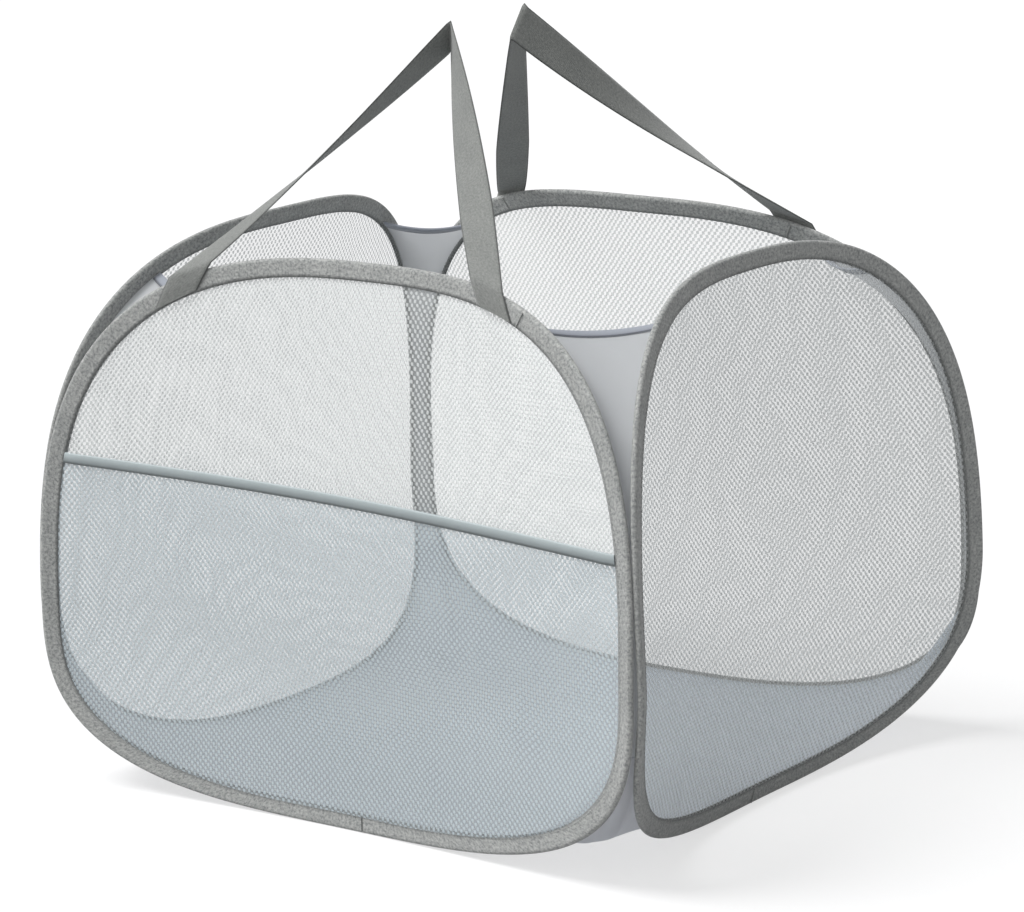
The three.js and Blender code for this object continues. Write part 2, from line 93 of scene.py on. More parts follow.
axes = camera_axes(*CAMERA_ANGLES)
place = np.eye(4)
place[:3, :3] = axes.T
place[:3, 3] = OBJECT_MIDDLE - axes.T @ MIDDLE_FROM_CAMERA
camera.matrix_world = Matrix(place.tolist())

for name, energy, spread, towards in LAMPS:
    lamp_data = bpy.data.lights.new(name, "SUN")
    lamp_data.energy = energy
    lamp_data.angle = math.radians(spread)
    lamp = bpy.data.objects.new(name, lamp_data)
    scene.collection.objects.link(lamp)
    lamp.matrix_world = Vector(towards).to_track_quat("Z", "Y").to_matrix().to_4x4()

scene.view_settings.view_transform = "Standard"


class Value:
    """The output of a shader node, so that sums of values read as sums: each operator adds its Math node."""

    def __init__(self, finish, socket):
        self.finish, self.socket = finish, socket

    def maths(self, operation, *others):
        """This value and the others through one Math node."""
        return self.finish.node("ShaderNodeMath", dict(operation=operation), self, *others)

    def __add__(self, other):
        return self.maths("ADD", other)

    def __sub__(self, other):
        return self.maths("SUBTRACT", other)

    def __mul__(self, other):
        return self.maths("MULTIPLY", other)

    def __rsub__(self, other):
        return self.finish.node("ShaderNodeMath", dict(operation="SUBTRACT"), other, self)

    __radd__ = __add__
    __rmul__ = __mul__


class Finish:
    """A material as it is built up, from a plain surface with the constants given by socket name."""

    def __init__(self, name, **constants):
        self.material = bpy.data.materials.new(name)
        self.material.use_nodes = True
        self.tree = self.material.node_tree
        self.tree.nodes.clear()
        surface = self.node("ShaderNodeBsdfPrincipled", **constants)
        self.surface = surface.socket.node
        self.output = self.tree.nodes.new("ShaderNodeOutputMaterial")
        self.feed(self.output.inputs[0], surface)

    def feed(self, socket, value):
        """Links a value to a socket, or sets the socket to a number or colour."""
        if isinstance(value, Value):
            self.tree.links.new(value.socket, socket)
        elif value is not None:
            socket.default_value = (*value, 1.0) if socket.type == "RGBA" and len(value) == 3 else value

    def node(self, kind, settings=None, *inputs, out=0, **named):
        """Any node: its type, its settings, then its inputs in order or by name. out picks the output."""
        made = self.tree.nodes.new(kind)
        for key, value in (settings or {}).items():
            setattr(made, key, value)
        for socket, value in zip(made.inputs, inputs):
            self.feed(socket, value)
        for name, value in named.items():
            self.feed(made.inputs[name.replace("_", " ")], value)
        return Value(self, made.outputs[out])

    def noise(self, where, scale, detail=2.0, roughness=0.5):
        """Uneven value from 0 to 1, with about scale patches to a metre."""
        return self.node("ShaderNodeTexNoise", {}, Vector=where, Scale=scale, Detail=detail,
                         Roughness=roughness)

    def ramp(self, value, first, last, low=0.0, high=1.0, kind="LINEAR"):
        """Value from low to high while the given one goes from first to last, straight or smooth."""
        return self.node("ShaderNodeMapRange", dict(interpolation_type=kind), value, first, last, low, high)

    def mix(self, share, first, second):
        """Colour between two colours, by share."""
        not_colours = [None] * 5
        return self.node("ShaderNodeMix", dict(data_type="RGBA"), share, *not_colours, first, second, out=2)

    def bump(self, height, strength, distance):
        """Raises the surface's shading by a height, in steps of distance."""
        normal = self.node("ShaderNodeBump", {}, Strength=strength, Distance=distance, Height=height)
        self.feed(self.surface.inputs["Normal"], normal)

    def colour(self, value):
        """Sets the surface's base colour."""
        self.feed(self.surface.inputs["Base Color"], value)

    def blend_with(self, kind, share, colour=(1.0, 1.0, 1.0)):
        """Puts a plain shader of this kind and colour over the surface, by share."""
        surface = Value(self, self.surface.outputs[0])
        choice = self.node("ShaderNodeMixShader", {}, share, surface, self.node(kind, {}, colour))
        self.feed(self.output.inputs[0], choice)

    def wave(self, along, pitch):
        """Ripple from -1 to 1 with a pitch in metres."""
        return (along * (2 * math.pi / pitch)).maths("SINE")


world = bpy.data.worlds.new("white_room")
scene.world = world
world.use_nodes = True
world_nodes = world.node_tree
world_nodes.nodes.clear()
rays = world_nodes.nodes.new("ShaderNodeLightPath")
room_light = world_nodes.nodes.new("ShaderNodeBackground")
room_seen = world_nodes.nodes.new("ShaderNodeBackground")
room_choice = world_nodes.nodes.new("ShaderNodeMixShader")
room_output = world_nodes.nodes.new("ShaderNodeOutputWorld")
room_light.inputs[0].default_value = ROOM_COLOUR
room_light.inputs[1].default_value = ROOM_STRENGTH
room_seen.inputs[0].default_value = (1.0, 1.0, 1.0, 1.0)
room_seen.inputs[1].default_value = 1.0
either_ray, any_ray = (world_nodes.nodes.new("ShaderNodeMath") for _ in range(2))
either_ray.operation = any_ray.operation = "MAXIMUM"
for source, target in (
        (rays.outputs["Is Camera Ray"], either_ray.inputs[0]),
        (rays.outputs["Is Glossy Ray"], either_ray.inputs[1]),
        (either_ray.outputs[0], any_ray.inputs[0]),
        (rays.outputs["Is Transmission Ray"], any_ray.inputs[1]),
        (any_ray.outputs[0], room_choice.inputs[0]),
        (room_light.outputs[0], room_choice.inputs[1]),
        (room_seen.outputs[0], room_choice.inputs[2]),
        (room_choice.outputs[0], room_output.inputs[0])):
    world_nodes.links.new(source, target)

floor_mesh = bpy.data.meshes.new("studio_floor")
floor_angles = np.linspace(0, 2 * math.pi, 96, endpoint=False)
floor_rim = FLOOR_RADIUS * np.stack([np.cos(floor_angles), np.sin(floor_angles), 0 * floor_angles], 1)
floor_mesh.from_pydata(floor_rim.tolist(), [], [list(range(len(floor_rim)))])
studio_floor = bpy.data.objects.new("studio_floor", floor_mesh)
scene.collection.objects.link(studio_floor)
floor_finish = Finish("white_floor", Roughness=1.0, Specular_IOR_Level=0.0)
floor_speckle = floor_finish.noise(floor_finish.node("ShaderNodeTexCoord", {}, out=3), 3.0)
floor_seen = floor_finish.mix(floor_speckle, (0.95, 0.95, 0.955), (0.97, 0.97, 0.975))
by_camera, in_gloss, through_glass = (
    floor_finish.node("ShaderNodeLightPath", out=f"Is {ray} Ray")
    for ray in ("Camera", "Glossy", "Transmission"))
seen = (by_camera + in_gloss + through_glass).maths("MINIMUM", 1.0)
floor_finish.colour(floor_finish.mix(seen, FLOOR_BOUNCE, floor_seen))
floor_finish.blend_with("ShaderNodeEmission", seen * FLOOR_GLOW)
floor_mesh.materials.append(floor_finish.material)

# ---- Spring hoops: a round length of spring steel wire for each panel, its ends crimped into a short
# sleeve at the foot. Held in the corners, each hoop leans in and bows. The CAD wires and sleeves stay.

BASKET_WIDTH = 0.506
BASKET_DEPTH = 0.444
BASKET_HEIGHT = 0.380
WAIST = 0.133
SEAM_SETBACK = 0.0040
ROUNDNESS = 2.95
DRAW_IN = 0.0256
SEAM_PINCH = 0.005
PINCH_REACH = 0.014
PINCH_UPRIGHT = 0.65
LEAN_POWER = 1.6
# How far a panel leans in at its top and foot, and how much less at its top and foot corners
FRONT_LEAN = (0.042, -0.0055, 0.022, -0.0012)
SIDE_LEAN = (0.032, 0.027, 0.011, -0.0045)


class Panel:
    """A side of the basket. u runs to the right and v up, seen from outside; points are turned into place.

    The surface lies inside the upright plane of the panel by the lean times a power of the way from the
    waist to the top or foot, less in the corners, plus a bow, a parabola across the middle. Along the corner
    seams it turns in more steeply, by a pinch that fades exponentially inside the hoop. The hoop is a
    superellipse about the waist: across and upright shares, each to the same power, add up to one.
    """

    def __init__(self, body, width, setback, lean, turn):
        self.body = body
        self.half = width / 2 - SEAM_SETBACK
        self.setback = setback
        self.lean = lean
        c, s = math.cos(turn), math.sin(turn)
        self.turn = np.array([[c, -s, 0], [s, c, 0], [0, 0, 1]])

    def reach(self, above):
        """Distance from the waist to the top or to the foot."""
        return np.where(above, BASKET_HEIGHT - WAIST, WAIST)

    def draw_in(self, u, v):
        """Depth of the surface inside the upright plane: lean, less its corners, plus bow and pinch."""
        above = v > WAIST
        across = np.abs(u) / self.half
        upright = np.abs(v - WAIST) / self.reach(above)
        lean = np.where(above, self.lean[0], self.lean[1])
        corner = np.where(above, self.lean[2], self.lean[3])
        held = np.clip(1 - (upright / PINCH_UPRIGHT) ** 2, 0, 1) ** 2
        from_edge = np.clip(self.half_width(v, 0.0) - np.abs(u), 0, None)
        pinch = SEAM_PINCH * held * (across ** 2 - np.exp(-from_edge / PINCH_REACH))
        bow = DRAW_IN * (1 - across ** 2)
        return lean * upright ** LEAN_POWER - corner * (upright * across) ** 2 + bow + pinch

    def flat(self, u, v, lift):
        """Point raised by lift along the surface's outward normal, before the turn."""
        u, v, lift = np.broadcast_arrays(np.asarray(u, float), v, lift)
        step = 1e-4
        du = (self.draw_in(u + step, v) - self.draw_in(u - step, v)) / (2 * step)
        dv = (self.draw_in(u, v + step) - self.draw_in(u, v - step)) / (2 * step)
        normal = np.stack([du, -np.ones_like(du), dv], -1)
        normal /= np.linalg.norm(normal, axis=-1, keepdims=True)
        return np.stack([u, self.draw_in(u, v) - self.setback, v], -1) + normal * lift[..., None]

    def at(self, u, v, lift=0.0):
        """The same point after the panel's turn."""
        return self.flat(u, v, lift) @ self.turn.T

    def rim_uv(self, angle, inset=0.0, share=1.0):
        """u and v of the hoop's outline at an angle, an inset within its edge, drawn in by share."""
        c, s = np.cos(angle), np.sin(angle)
        across = np.abs(c) / (self.half - inset)
        upright = np.abs(s) / (self.reach(s > 0) - inset)
        reach = share * (across ** ROUNDNESS + upright ** ROUNDNESS) ** (-1 / ROUNDNESS)
        return reach * c, WAIST + reach * s

    def rim(self, angle, inset=0.0, lift=0.0, share=1.0):
        """Point of the hoop's outline at an angle."""
        u, v = self.rim_uv(angle, inset, share)
        return self.at(u, v, lift)

    def half_width(self, height, inset):
        """Half width of the hoop's outline at a height."""
        share = np.abs(height - WAIST) / (self.reach(height > WAIST) - inset)
        return (self.half - inset) * np.clip(1 - share ** ROUNDNESS, 0, 1) ** (1 / ROUNDNESS)

    def rim_height(self, u, inset):
        """Height of the hoop's upper edge at a distance from its middle."""
        share = np.abs(u) / (self.half - inset)
        return WAIST + (BASKET_HEIGHT - WAIST - inset) * (1 - share ** ROUNDNESS) ** (1 / ROUNDNESS)

    def even_angles(self, first, last, count, inset=0.0):
        """Angles whose points lie evenly along the outline, and their distances along it."""
        fine = np.linspace(first, last, 4001)
        steps = np.linalg.norm(np.diff(self.rim(fine, inset), axis=0), axis=1)
        length = np.concatenate([[0], np.cumsum(steps)])
        wanted = np.linspace(0, length[-1], count)
        return np.interp(wanted, length, fine), wanted


panels = {
    "front": Panel("front_panel", BASKET_WIDTH, BASKET_DEPTH / 2, FRONT_LEAN, 0.0),
    "right": Panel("right_panel", BASKET_DEPTH, BASKET_WIDTH / 2, SIDE_LEAN, math.pi / 2),
    "back": Panel("back_panel", BASKET_WIDTH, BASKET_DEPTH / 2, FRONT_LEAN, math.pi),
    "left": Panel("left_panel", BASKET_DEPTH, BASKET_WIDTH / 2, SIDE_LEAN, -math.pi / 2),
}

steel = Finish("spring_steel", Metallic=1.0)
drawn = steel.noise(steel.node("ShaderNodeTexCoord", {}, out=3), 900.0, detail=4.0)
steel.colour(steel.mix(drawn, (0.40, 0.41, 0.42), (0.50, 0.51, 0.52)))
steel.feed(steel.surface.inputs["Roughness"], drawn * 0.2 + 0.25)
steel.bump(drawn, 0.15, 0.0001)
for name in panels:
    for part in ("hoop_wire", "wire_sleeve"):
        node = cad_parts[f"{name}_{part}"]
        for place_in in node.material_slots:
            place_in.material = steel.material

# ---- Mesh panels: knitted polyester net, white and half see-through, cut to the hoop's outline and held
# all round between the legs of the edge tape.

NET_ACROSS = 0.0045
NET_UP = 0.0052
NET_COVER = 0.76
NET_OPENING = 0.47
HOLE_EDGE = -0.4
MESH_INSET = 0.0055
NET_RIPPLE = 0.0005


def split(finish, vector):
    """X and Y of a vector as two values."""
    x = finish.node("ShaderNodeSeparateXYZ", {}, vector)
    return x, Value(finish, x.socket.node.outputs[1])


def on_cloth(finish):
    """The piece's own UV map, in metres along and across the cloth."""
    return finish.node("ShaderNodeUVMap", dict(uv_map="cloth"))


def net_finish(name, thread, shade):
    """Diagonal net: two slanting ripples added, high at each hole and low where threads cross.

    The cloth turns see-through, by a smooth step, where their sum is high.
    """
    net = Finish(name, Roughness=0.75, Specular_IOR_Level=0.25, Sheen_Weight=0.15)
    where = on_cloth(net)
    across, upright = split(net, where)
    drift = net.noise(where, 16.0, detail=2.0)
    wander = net.noise(where, 150.0, detail=2.0)
    column = (across + drift * 0.009 + wander * 0.0012) * (1 / NET_ACROSS)
    course = (upright - drift * 0.007 + wander * 0.0012) * (1 / NET_UP)
    lattice = net.wave(column + course, 1.0) * 0.54 - net.wave(column - course, 1.0) * 0.46
    opening = net.ramp(lattice, HOLE_EDGE, HOLE_EDGE + 0.5, kind="SMOOTHSTEP")
    fuzz = net.noise(where, 2600.0, detail=3.0)
    patches = net.noise(where, 9.0, detail=2.0)
    net.feed(net.surface.inputs["Alpha"], NET_COVER - opening * (fuzz * 0.1 + NET_OPENING))
    net.colour(net.mix(patches * 0.6 + fuzz * 0.4, shade, thread))
    net.bump(fuzz * 0.3 - lattice * 0.7, 0.5, 0.0003)
    return net


panel_net = net_finish("knitted_net", (0.79, 0.81, 0.80), (0.65, 0.68, 0.68))


def piece_from_grid(name, points, uv, finish, loop_rows=False, loop_columns=False):
    """Mesh of a grid of points (rows, columns, 3), each cell one face, closed round rows or columns if asked.

    uv holds the cloth's own coordinates, with one more row or column where the grid closes on itself.
    """
    rows, columns = points.shape[:2]
    row = np.arange(rows if loop_rows else rows - 1)[:, None]
    column = np.arange(columns if loop_columns else columns - 1)[None, :]
    below, beside = (row + 1) % rows, (column + 1) % columns
    corners = np.stack([row * columns + column, row * columns + beside,
                        below * columns + beside, below * columns + column], -1).reshape(-1, 4)
    wide = uv.shape[1]
    spots = np.stack([row * wide + column, row * wide + column + 1,
                      (row + 1) * wide + column + 1, (row + 1) * wide + column], -1).reshape(-1)
    mesh = bpy.data.meshes.new(name)
    mesh.vertices.add(rows * columns)
    mesh.vertices.foreach_set("co", points.reshape(-1).astype(np.float32))
    mesh.loops.add(corners.size)
    mesh.loops.foreach_set("vertex_index", corners.reshape(-1).astype(np.int32))
    mesh.polygons.add(len(corners))
    mesh.polygons.foreach_set("loop_start", np.arange(0, corners.size, 4, dtype=np.int32))
    mesh.update(calc_edges=True)
    layer = mesh.uv_layers.new(name="cloth")
    layer.data.foreach_set("uv", uv.reshape(-1, 2)[spots].reshape(-1).astype(np.float32))
    mesh.polygons.foreach_set("use_smooth", np.ones(len(corners), bool))
    mesh.materials.append(finish.material)
    piece = bpy.data.objects.new(name, mesh)
    scene.collection.objects.link(piece)
    return piece


def net_sheet(panel, resolution):
    """Square grid drawn onto the hoop's outline: the larger of |s| and |t| is the reach from the middle.

    Two crossed ripples, fading towards the tape, are the slack.
    """
    s, t = np.meshgrid(np.linspace(-1, 1, resolution), np.linspace(-1, 1, resolution))
    share = np.maximum(np.abs(s), np.abs(t))
    angle = np.arctan2(t * panel.reach(t > 0), s * panel.half)
    u, v = panel.rim_uv(angle, MESH_INSET, share)
    slack = np.clip(1 - share ** 4, 0, 1)
    ripple = np.sin(31 * u + 9 * v + panel.half * 40) * np.sin(23 * v - 7 * u)
    ripple = ripple + 0.6 * np.sin(17 * u - 29 * v + 1)
    return u, v, NET_RIPPLE * slack * ripple


for name, panel in panels.items():
    u, v, lift = net_sheet(panel, 97)
    net_piece = piece_from_grid(f"{name}_net", panel.at(u, v, lift), np.stack([u, v], -1), panel_net)
    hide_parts(f"{name}_mesh")
    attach(net_piece, panel.body)
    width, height = 2 * (panel.half - MESH_INSET), BASKET_HEIGHT - 2 * MESH_INSET

# ---- Edge tape: folded polyester tape, mid grey, finely ribbed, sewn round each hoop with one row of
# stitches through both legs. Where two lengths of it meet, a short row of dark stitches crosses it.

TAPE_WIDTH = 0.0125
TAPE_RADIUS = 0.0022
TAPE_THICKNESS = 0.0006
LEG_GAP = 0.00075
SEAM_INSET = 0.0105
STITCHES = 440
STITCH_LIFT = 0.0001
JOIN_STITCHES = 9
JOIN_INSETS = (0.0016, 0.0122)
JOIN_BULGE = 0.0011
JOIN_THREAD = 0.0005
OUTWARD_STEP = 0.001
# Angles round each hoop, in degrees from its right, at which two lengths of tape meet
TAPE_JOINS = {"front": (-83.3, 59.0), "right": (-96.0,), "back": (61.7, 118.3), "left": (-90.0,)}


def tape_finish(name, light, dark):
    """Fine ribs across the tape, crossed by finer ones, with worn patches and painted shade in a dark band
    along its edges.
    """
    tape = Finish(name, Roughness=0.82, Specular_IOR_Level=0.3, Sheen_Weight=0.25)
    where = on_cloth(tape)
    along, across = split(tape, where)
    ribs = tape.wave(along, 0.0011) * 0.5 + 0.5
    picks = tape.wave(across, 0.0008) * 0.5 + 0.5
    speck = tape.noise(where, 480.0, detail=4.0, roughness=0.75)
    grain = tape.ramp(speck, 0.36, 0.64)
    patches = tape.noise(where, 60.0, detail=3.0)
    middle = TAPE_WIDTH + math.pi * TAPE_RADIUS / 2 - TAPE_RADIUS
    from_bend = (across - middle).maths("ABSOLUTE")
    # Painted shade: a darker band along both free edges of the tape, where it meets the net
    edge = tape.ramp(from_bend, middle - 0.0022, middle - 0.0004, kind="SMOOTHSTEP")
    cloth = tape.mix(grain * 0.95 + patches * 0.45 - 0.2, dark, light)
    tape.colour(tape.mix(edge * 0.62, cloth, tuple(0.5 * channel for channel in dark)))
    tape.bump(ribs * 0.5 + picks * 0.3 + speck * 0.5, 0.45, 0.0003)
    return tape


tape_cloth = tape_finish("edge_tape", (0.50, 0.505, 0.49), (0.19, 0.20, 0.198))
thread = Finish("sewing_thread", Roughness=0.6, Sheen_Weight=0.2)
twist = thread.noise(thread.node("ShaderNodeTexCoord", {}, out=3), 2500.0)
thread.colour(thread.mix(twist, (0.20, 0.21, 0.205), (0.30, 0.31, 0.30)))
thread.bump(twist, 0.3, 0.0001)


def unit(vectors):
    """The vectors over their own lengths."""
    return vectors / np.linalg.norm(vectors, axis=-1, keepdims=True)


def tape_profile():
    """Closed section of the folded tape as inset and lift: outer leg, bend over the wire, inner leg and back.

    Each leg runs from the stitches to the bend along a power curve.
    """
    leg = LEG_GAP + TAPE_THICKNESS
    bend = np.radians(np.linspace(90, -90, 13))
    outer = np.stack([TAPE_RADIUS - TAPE_RADIUS * np.cos(bend), TAPE_RADIUS * np.sin(bend)], 1)
    inner_radius = TAPE_RADIUS - TAPE_THICKNESS
    inner = np.stack([TAPE_RADIUS - inner_radius * np.cos(bend[::-1]), inner_radius * np.sin(bend[::-1])], 1)
    run = np.linspace(0, 1, 6)[1:-1, None]
    rise = (run ** 0.6) ** 2.2
    edge = np.array([[TAPE_WIDTH, leg * 0.96]])
    inset = TAPE_WIDTH + (TAPE_RADIUS - TAPE_WIDTH) * run
    outer_leg = np.hstack([inset, leg + (TAPE_RADIUS - leg) * rise])
    inner_leg = np.hstack([inset, LEG_GAP + (inner_radius - LEG_GAP) * rise])
    mirrored = np.array([1, -1])
    return np.vstack([
        edge, outer_leg, outer, (outer_leg * mirrored)[::-1], edge * mirrored, [[TAPE_WIDTH, -LEG_GAP * 1.1]],
        inner_leg * mirrored, inner, inner_leg[::-1], [[TAPE_WIDTH, LEG_GAP * 1.1]]])


def loft_round(panel, profile, angles, along):
    """Grid of the profile carried to each angle of the hoop, and its cloth coordinates."""
    points = panel.rim(angles[:, None], profile[None, :, 0], profile[None, :, 1])
    steps = np.linalg.norm(np.diff(np.vstack([profile, profile[:1]]), axis=0), axis=1)
    around = np.concatenate([[0], np.cumsum(steps)])
    return points, np.stack(np.meshgrid(along, around, indexing="ij"), -1)


def stitches(name, starts, ends, outward, body, radius=0.00022):
    """Row of short threads, each a lozenge of four sides from start to end, humped in the middle."""
    run = ends - starts
    side = np.cross(outward, run)
    side *= radius / np.linalg.norm(side, axis=-1, keepdims=True)
    lift = outward * radius
    spread = np.array([0.35, 1.0, 1.0, 0.35])
    rise = np.array([-0.2, 0.8, 0.8, -0.2])
    place_along = np.array([0.0, 0.25, 0.75, 1.0])
    middle = starts[:, None] + run[:, None] * place_along[None, :, None] + lift[:, None] * rise[None, :, None]
    wide, high = side[:, None] * spread[None, :, None], lift[:, None] * spread[None, :, None]
    points = np.stack([middle + wide, middle + high, middle - wide, middle - high], 2)
    ring, turn = np.meshgrid(4 * np.arange(3), np.arange(4), indexing="ij")
    a, b = ring + turn, ring + (turn + 1) % 4
    sides = np.stack([a, a + 4, b + 4, b], -1).reshape(-1, 4)
    faces = np.vstack([sides, [[0, 1, 2, 3], [15, 14, 13, 12]]])
    cells = (faces[None] + 16 * np.arange(len(starts))[:, None, None]).reshape(-1, 4)
    mesh = bpy.data.meshes.new(name)
    mesh.from_pydata(points.reshape(-1, 3).tolist(), [], cells.tolist())
    mesh.polygons.foreach_set("use_smooth", np.ones(len(mesh.polygons), bool))
    mesh.materials.append(thread.material)
    piece = bpy.data.objects.new(name, mesh)
    scene.collection.objects.link(piece)
    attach(piece, body)


for name, panel in panels.items():
    profile = tape_profile()
    angles, along = panel.even_angles(-math.pi / 2, 1.5 * math.pi, 321)
    points, uv = loft_round(panel, profile, angles, along)
    tape = piece_from_grid(f"{name}_edge_tape", points[:-1], uv, tape_cloth, True, True)
    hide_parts(f"{name}_binding")
    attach(tape, panel.body)
    # One row of lockstitch, seen on the outside and on the inside of the tape
    seam_angles, _ = panel.even_angles(-math.pi / 2, 1.5 * math.pi, 2 * STITCHES + 1, SEAM_INSET)
    leg = LEG_GAP + TAPE_THICKNESS
    for face, sign in (("outside", 1), ("inside", -1)):
        spots = panel.rim(seam_angles, SEAM_INSET, sign * (leg + STITCH_LIFT))
        raised = panel.rim(seam_angles, SEAM_INSET, sign * (leg + STITCH_LIFT + OUTWARD_STEP))
        outward = unit(raised - spots)[:-1:2]
        stitches(f"{name}_tape_stitches_{face}", spots[:-1:2], spots[1::2], outward, panel.body)
        # A dark row of stitches across the tape holds each join
        insets = np.linspace(*JOIN_INSETS, JOIN_STITCHES)
        for count, degrees in enumerate(TAPE_JOINS[name]):
            bar = np.full(JOIN_STITCHES, math.radians(degrees))
            spots = panel.rim(bar, insets, sign * (leg + JOIN_BULGE * (1 - insets / TAPE_WIDTH) ** 0.7))
            raised = panel.rim(bar, insets, sign * (leg + JOIN_BULGE + OUTWARD_STEP))
            outward = unit(raised - spots)[:-1]
            stitches(f"{name}_tape_join_{face}_{count + 1}", spots[:-1], spots[1:], outward, panel.body,
                     JOIN_THREAD)

# ---- Front pocket: a second sheet of the same net over the lower part of the front, caught in the edge
# tape below and slack along its top, which ends in a blue-grey nylon hem.

POCKET_TOP = 0.229
POCKET_FALL = 0.012
POCKET_INSET = 0.0105
POCKET_SLACK = 0.014
POCKET_SEAT = 0.0023
POCKET_TUCK = 0.0006
POCKET_TUCK_SHARE = 0.04
POCKET_FOOT_ANGLE = 0.02
POCKET_HEM = 0.0065
POCKET_HEM_END = 0.004
POCKET_HEM_ROW = 0.97
PATTERN_SHIFT = (0.0008, 0.0006)
front = panels["front"]
# The pocket is the same net, coloured darker and bluer than the panels: painted shade and blue light from the
# base behind it
pocket_net_shaded = net_finish("pocket_net_shaded", (0.61, 0.675, 0.71), (0.48, 0.555, 0.60))


def pocket_surface(row, column):
    """Rows climb the hoop's outline on both sides, higher on the left, and run straight across.

    The slack grows with the square of the height and is a parabola across.
    """
    ends = []
    for side in (-1, 1):
        top = POCKET_TOP - side * POCKET_FALL / 2
        top_angle = math.asin(((top - WAIST) / (BASKET_HEIGHT - WAIST - POCKET_INSET)) ** (ROUNDNESS / 2))
        foot_angle = POCKET_FOOT_ANGLE - math.pi / 2
        climb = foot_angle + (top_angle - foot_angle) * row
        sine = np.sin(climb)
        tall, wide = front.reach(sine > 0) - POCKET_INSET, front.half - POCKET_INSET
        height = WAIST + np.sign(sine) * tall * np.abs(sine) ** (2 / ROUNDNESS)
        ends.append((side * wide * np.abs(np.cos(climb)) ** (2 / ROUNDNESS), height))
    (left_u, left_v), (right_u, right_v) = ends
    u = left_u + (right_u - left_u) * column
    v = left_v + (right_v - left_v) * column
    rim = POCKET_TOP - POCKET_FALL * (column - 0.5)
    rise = np.clip((v - POCKET_INSET) / (rim - POCKET_INSET), 0, 1)
    edge = np.clip(np.minimum(1 - np.abs(2 * column - 1), row) / POCKET_TUCK_SHARE, 0, 1)
    tucked = POCKET_TUCK + (POCKET_SEAT - POCKET_TUCK) * edge
    return u, v, tucked + POCKET_SLACK * rise ** 2 * (1 - (2 * column - 1) ** 2)


row, column = np.meshgrid(np.linspace(0, 1, 61), np.linspace(0, 1, 101), indexing="ij")
u, v, lift = pocket_surface(row, column)
pocket = piece_from_grid("pocket_net_sheet", front.at(u, v, lift), np.stack([u, v], -1) + PATTERN_SHIFT,
                         pocket_net_shaded)
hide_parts("front_pocket_mesh")
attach(pocket, "front_panel")


def nylon_finish(name, light, dark, weave, rough, seam=False):
    """Plain woven nylon: two fine ripples at right angles, uneven in tone. A seam darkens its lower edge."""
    nylon = Finish(name, Roughness=rough, Specular_IOR_Level=0.35, Sheen_Weight=0.2)
    where = on_cloth(nylon)
    along, across = split(nylon, where)
    threads = nylon.wave(along, weave) * 0.25 + nylon.wave(across, weave) * 0.25 + 0.5
    clouds = nylon.noise(where, 14.0, detail=4.0)
    speck = nylon.noise(where, 1800.0, detail=3.0)
    cloth = nylon.mix(clouds * 0.6 + threads * 0.2 + speck * 0.3 - 0.05, dark, light)
    if seam:
        stitched = nylon.ramp(across, 0.0006, 0.0022, 1.0, 0.0, "SMOOTHSTEP")
        cloth = nylon.mix(stitched * (speck * 0.6 + 0.5), cloth, tuple(0.35 * channel for channel in dark))
    nylon.colour(cloth)
    creases = nylon.noise(where, 24.0, detail=5.0, roughness=0.6)
    nylon.bump(threads * 0.12 + creases * 1.6 + speck * 0.1, 0.5, 0.0012)
    return nylon


pocket_band = nylon_finish("pocket_band_nylon", (0.46, 0.515, 0.525), (0.37, 0.42, 0.43), 0.0007, 0.62,
                           seam=True)


def folded_band(name, line, rise, out, height, half_gap, finish, thickness=0.0005):
    """Band folded over an edge: a U section carried along the line, its crown rounded over the edge."""
    arc = np.radians(np.linspace(90, -90, 7))
    face = half_gap + thickness
    outer = np.stack([face * np.sin(arc), face * np.cos(arc) * 0.8], 1)
    inner = np.stack([half_gap * np.sin(arc[::-1]), half_gap * np.cos(arc[::-1]) * 0.7], 1)
    section = np.vstack([
        [[face, -height]], outer, [[-face, -height], [-half_gap, -height]], inner, [[half_gap, -height]]])
    points = line[:, None] + out[:, None] * section[None, :, :1] + rise[:, None] * section[None, :, 1:]
    along = np.concatenate([[0], np.cumsum(np.linalg.norm(np.diff(line, axis=0), axis=1))])
    steps = np.linalg.norm(np.diff(np.vstack([section, section[:1]]), axis=0), axis=1)
    uv = np.stack(np.meshgrid(along, np.concatenate([[0], np.cumsum(steps)]), indexing="ij"), -1)
    return piece_from_grid(name, points, uv, finish, loop_columns=True)


column = np.linspace(POCKET_HEM_END, 1 - POCKET_HEM_END, 121)
u, v, lift = pocket_surface(np.ones_like(column), column)
line = front.at(u, v, lift)
u, v, lift = pocket_surface(np.full_like(column, POCKET_HEM_ROW), column)
below = front.at(u, v, lift)
rise = unit(line - below)
out = unit(np.cross(np.gradient(line, axis=0), rise))
pocket_hem = folded_band("pocket_hem_band", line, rise, out, POCKET_HEM, 0.0007, pocket_band)
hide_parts("front_pocket_hem")
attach(pocket_hem, "front_panel")

# ---- Base: nylon, flat on the floor, lifted to the foot of each hoop, where the tape holds it,
# and standing up in a point at each corner. Its upper side is coloured a darker blue-grey than its light
# underside, as painted shade inside the basket; the underside shows below the corners. It is cut here into
# two halves, corner to corner, that follow the panels.

GUSSET_FOOT = 0.092
CLOTH_INSET = 0.0105
CLOTH_LIFT = -0.0006
CLOTH_THICKNESS = 0.0004
BASE_FLAT = 0.6
BASE_RISE = 2.2
BASE_CENTRE = 0.004
PUCKER_HEIGHT = 0.0012


def base_edge(panel, count):
    """Foot of the panel from one corner's point to the next, just inside the tape, at even steps."""
    end = math.atan2(WAIST - GUSSET_FOOT, panel.half_width(GUSSET_FOOT, CLOTH_INSET))
    angles, _ = panel.even_angles(math.pi + end, 2 * math.pi - end, count, CLOTH_INSET)
    return panel.rim(angles, CLOTH_INSET, CLOTH_LIFT)


